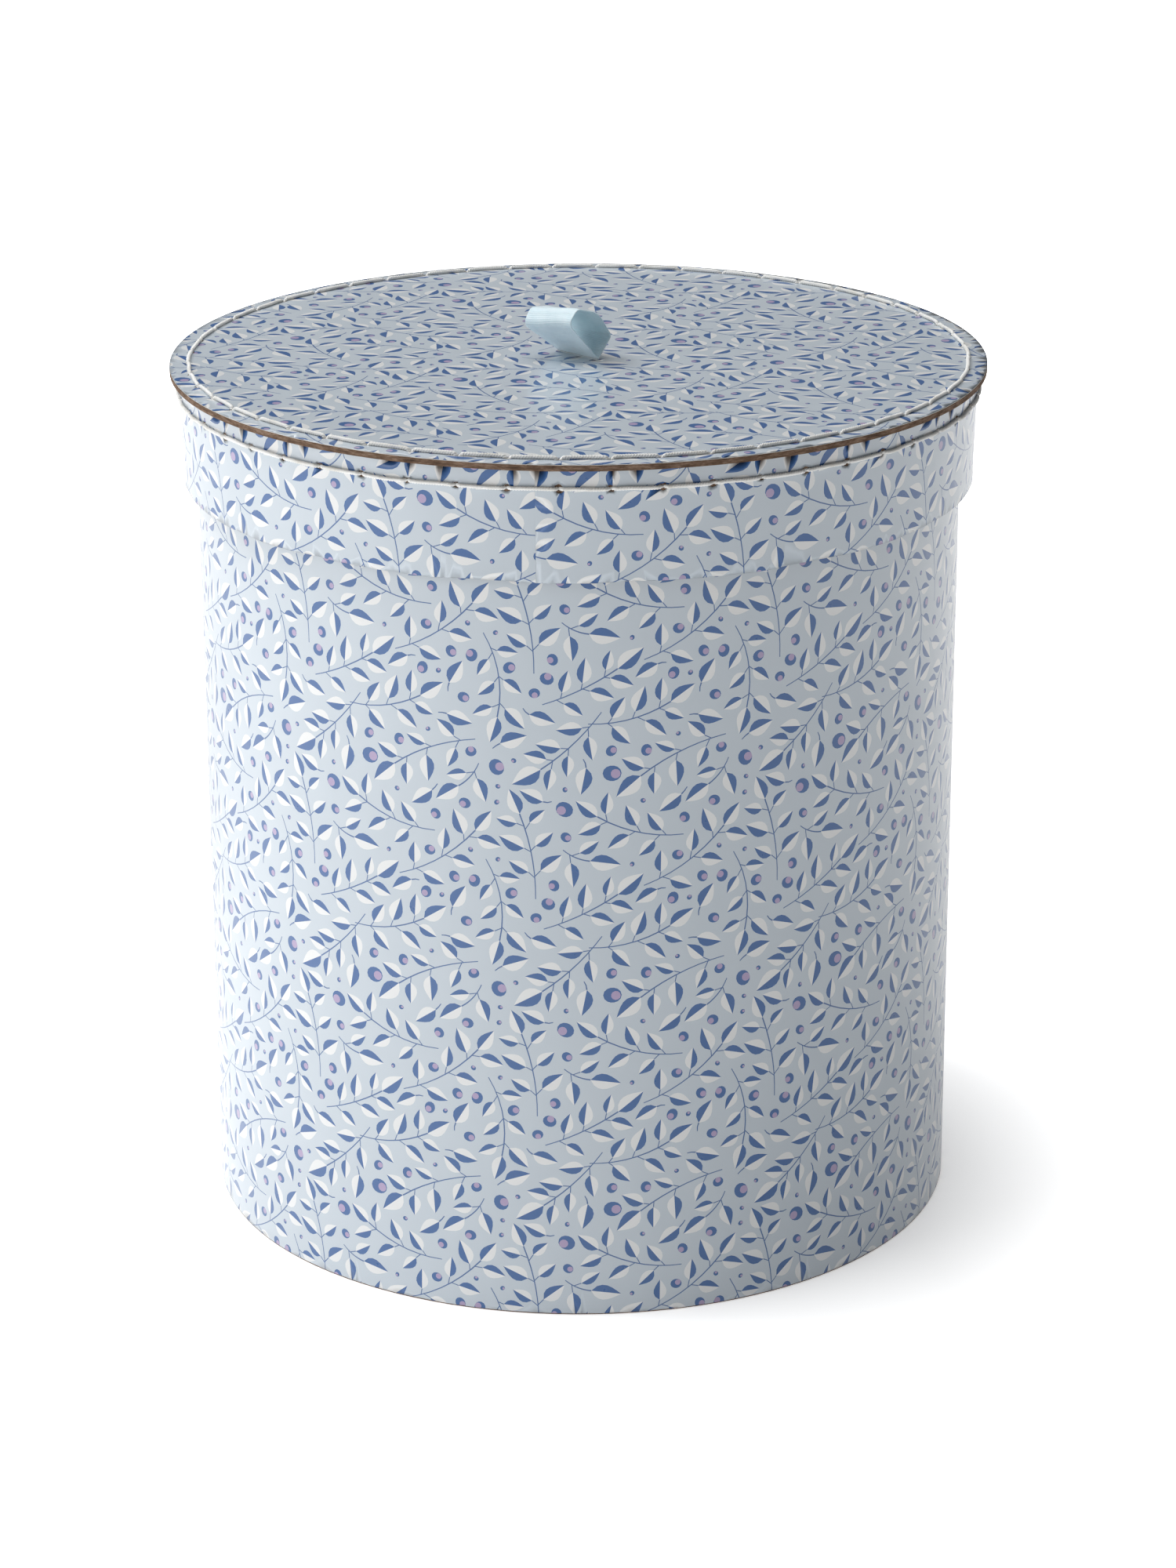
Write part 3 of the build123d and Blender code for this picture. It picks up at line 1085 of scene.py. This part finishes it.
def ribbed_strip(name, middle, closed, body, twist=(0.0, 0.0)):
    """Grosgrain along a (y, z) path: a strip with both its ribbed faces and its two selvedges."""
    if closed:
        middle = np.concatenate((middle, middle[:1]))
    run = run_along(middle)
    ribs = round(run[-1] / RIB_PITCH)
    steps = ribs * RIB_STEPS + (0 if closed else 1)
    at = np.arange(steps) / (ribs * RIB_STEPS) * run[-1]
    path = points_at(at, run, middle)
    normal = right_of(path, closed)
    wave = np.abs(np.sin(math.pi * at / run[-1] * ribs)) ** 0.7
    half = RIBBON_WIDTH / 2
    sides = np.array(EDGE_COLUMNS) - half
    columns = np.concatenate((sides, MIDDLE_COLUMNS, -sides[::-1]))
    edge = half - np.abs(columns)
    full = np.clip(edge / SELVEDGE, 0, 1) ** 0.5
    thick = RIBBON_THICKNESS / 2 * (0.55 + 0.45 * full)[None] - RIB_DEPTH * (1 - wave)[:, None] * full[None]
    jut = np.where(edge < 0.2, 1.0, 0.0) * np.sign(columns)
    across = columns[None] - SELVEDGE_JUT * (1 - wave)[:, None] * jut[None]
    lean = np.radians(twist[0] + (twist[1] - twist[0]) * smoothstep(-columns, -half, half))
    c, s = np.cos(lean)[None], np.sin(lean)[None]
    skins = []
    for side in (1, -1):
        skin = path[:, None] + side * thick[..., None] * normal[:, None] - (0, LID_TOP)
        y, z = np.moveaxis(skin, -1, 0)
        place = np.stack((across, y * c - z * s, y * s + z * c + LID_TOP), -1)
        skins.append(place.reshape(-1, 3))
    width = len(columns)
    total = steps * width
    faces = []
    last = steps if closed else steps - 1
    for i in range(last):
        a, b = i * width, (i + 1) % steps * width
        for k in range(width - 1):
            faces.append((a + k, b + k, b + k + 1, a + k + 1))
            faces.append((total + a + k + 1, total + b + k + 1, total + b + k, total + a + k))
        faces.append((a, total + a, total + b, b))
        k = width - 1
        faces.append((a + k, b + k, total + b + k, total + a + k))
    if not closed:
        end = (steps - 1) * width
        for k in range(width - 1):
            faces.append((k, k + 1, total + k + 1, total + k))
            faces.append((end + k + 1, end + k, total + end + k, total + end + k + 1))
    piece = add_piece(name, np.concatenate(skins) * MM, faces, [FINISHES["ribbon"]])
    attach(piece, body)
    return piece


def make_ribbon():
    """The loop over the slot, and the ribbon's two ends through it and out under the lid."""
    outline = rounded_loop(LOOP_CORNERS, LOOP_RADII)
    inward = right_of(outline, closed=True)
    if ((outline - outline.mean(0)) * inward).sum() > 0:
        inward = -inward
    middle = outline + inward * RIBBON_THICKNESS / 2 + (0, LID_TOP + LOOP_LIFT)
    loop = ribbed_strip("ribbon_handle", middle, True, "ribbon", LOOP_TWIST)
    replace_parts(loop, "ribbon_loop")
    half = RIBBON_THICKNESS / 2
    level = LINING_UNDERSIDE - half
    for side, label in ((-1, "front"), (1, "back")):
        path = np.array(
            (
                (side * half, LID_TOP),
                (side * half, level + 0.25),
                (side * (half + 0.08), level + 0.08),
                (side * (half + 0.25), level),
                (side * TAIL_LENGTH, level),
            )
        )
        tail = ribbed_strip(f"ribbon_tail_{label}", path, False, "lid")
        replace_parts(tail, "ribbon_tails")


make_ribbon()


# ---------------- floor, lights and camera, in metres

FLOOR_HALF = 8.0
FLOOR_LEVEL = -0.0002
WORLD_LIGHT = 0.17
# The floor's glow, painted light since the floor is no lamp, dimmer near the box than far from it: its
# strength near the box and far from it, and over which distances it grows
FLOOR_GLOW = (0.22, 0.75)
FLOOR_GLOW_RUN = (0.35, 1.4)
# Painted light that the camera alone sees on top of that, rising away from the box, so that the cast shadow
# stays short
FLOOR_CAMERA_GLOW = (0.12, 0.9)
FLOOR_CAMERA_GLOW_RUN = (0.163, 0.3)
# A brighter, glowing part of the floor, painted light in place of a lamp, that the glossy paper's left side
# reflects
LEFT_GLOW = 0.65
LEFT_GLOW_RUN = (0.35, 0.75)
LEFT_GLOW_PLACE = (-0.58, 0.28, 0.0)
CAMERA_PLACE = (0.0035, 1.81224, 0.83195)
CAMERA_LENS = 99.45
CAMERA_SENSOR = 36
CAMERA_AZIMUTH = 45
CAMERA_DIP = 19.805
CAMERA_ROLL = -0.194
LIGHT_TARGET = (0, 0, 0.2)
# Name, power, place as camera_side takes it, and size
LIGHTS = (
    ("key", 8.0, (-1.45, 0.8, 0.85), 1.0),
    ("overhead_left", 22.0, (-1.2, -0.3, 1.9), 1.0),
    ("overhead", 16.5, (0.1, -0.3, 2.2), 1.6),
)


def camera_side(right, back, up):
    """A point given along the camera's right, towards the camera and up, in metres."""
    c = math.sqrt(0.5)
    return Vector((c * right + c * back, c * right - c * back, up))


def add_light(name, energy, place, size):
    light = bpy.data.lights.new(name, "AREA")
    light.energy = energy
    light.shape = "SQUARE"
    light.size = size
    lamp = bpy.data.objects.new(name, light)
    lamp.location = place
    lamp.rotation_mode = "QUATERNION"
    lamp.rotation_quaternion = (Vector(LIGHT_TARGET) - place).to_track_quat("-Z", "Y")
    bpy.context.scene.collection.objects.link(lamp)


def make_floor():
    # Painted light: the floor glows more away from the box and in a patch to its left, and more again for
    # the camera alone away from the box, which cuts its cast shadow short
    made = Finish("floor_sweep", Base_Color=(0.9, 0.9, 0.9), Specular_IOR_Level=0.1)
    centre = tuple(camera_side(*LEFT_GLOW_PLACE))
    away = made.maths("LENGTH", made.place, kind="VectorMath")
    from_left = made.maths("DISTANCE", made.place, centre, kind="VectorMath")
    glow = made.between(away, *FLOOR_GLOW, *FLOOR_GLOW_RUN)
    glow = made.maths("ADD", glow, made.between(from_left, LEFT_GLOW, 0.0, *LEFT_GLOW_RUN))
    # Painted light for the camera alone, rising away from the box, that cuts the cast shadow short
    clear = made.between(away, *FLOOR_CAMERA_GLOW, *FLOOR_CAMERA_GLOW_RUN)
    seen = made.node("LightPath").outputs["Is Camera Ray"]
    glow = made.maths("MULTIPLY_ADD", clear, seen, glow)
    made.set(Emission_Color=(1.0, 1.0, 1.0), Emission_Strength=glow)
    made.set(Roughness=made.between(made.noise(6), 0.8, 0.95))
    signs = ((-1, -1), (1, -1), (1, 1), (-1, 1))
    corners = [(x * FLOOR_HALF, y * FLOOR_HALF, FLOOR_LEVEL) for x, y in signs]
    add_piece("floor", corners, [(0, 1, 2, 3)], [made.material])


def make_world():
    """A plain white backdrop for the camera, and a dimmer white light on everything."""
    world = bpy.data.worlds.new("studio")
    bpy.context.scene.world = world
    world.use_nodes = True
    tree = world.node_tree
    lighting, backdrop = tree.nodes["Background"], tree.nodes.new("ShaderNodeBackground")
    for shader, strength in ((lighting, WORLD_LIGHT), (backdrop, 1.0)):
        shader.inputs["Color"].default_value = (1, 1, 1, 1)
        shader.inputs["Strength"].default_value = strength
    seen = tree.nodes.new("ShaderNodeLightPath").outputs["Is Camera Ray"]
    mix = tree.nodes.new("ShaderNodeMixShader")
    tree.links.new(seen, mix.inputs[0])
    tree.links.new(lighting.outputs[0], mix.inputs[1])
    tree.links.new(backdrop.outputs[0], mix.inputs[2])
    tree.links.new(mix.outputs[0], tree.nodes["World Output"].inputs["Surface"])


def make_camera():
    data = bpy.data.cameras.new("camera")
    data.sensor_width = CAMERA_SENSOR
    data.lens = CAMERA_LENS
    data.clip_start = 0.05
    camera = bpy.data.objects.new("camera", data)
    camera.location = camera_side(*CAMERA_PLACE)
    turn = Matrix.Rotation(math.radians(CAMERA_AZIMUTH), 3, "Z")
    turn = turn @ Matrix.Rotation(math.radians(90 - CAMERA_DIP), 3, "X")
    turn = turn @ Matrix.Rotation(math.radians(CAMERA_ROLL), 3, "Z")
    camera.rotation_mode = "QUATERNION"
    camera.rotation_quaternion = turn.to_quaternion()
    bpy.context.scene.collection.objects.link(camera)
    bpy.context.scene.camera = camera


make_floor()
make_world()
make_camera()
for name, energy, place, size in LIGHTS:
    add_light(name, energy, camera_side(*place), size)
bpy.context.scene.view_settings.view_transform = "Standard"
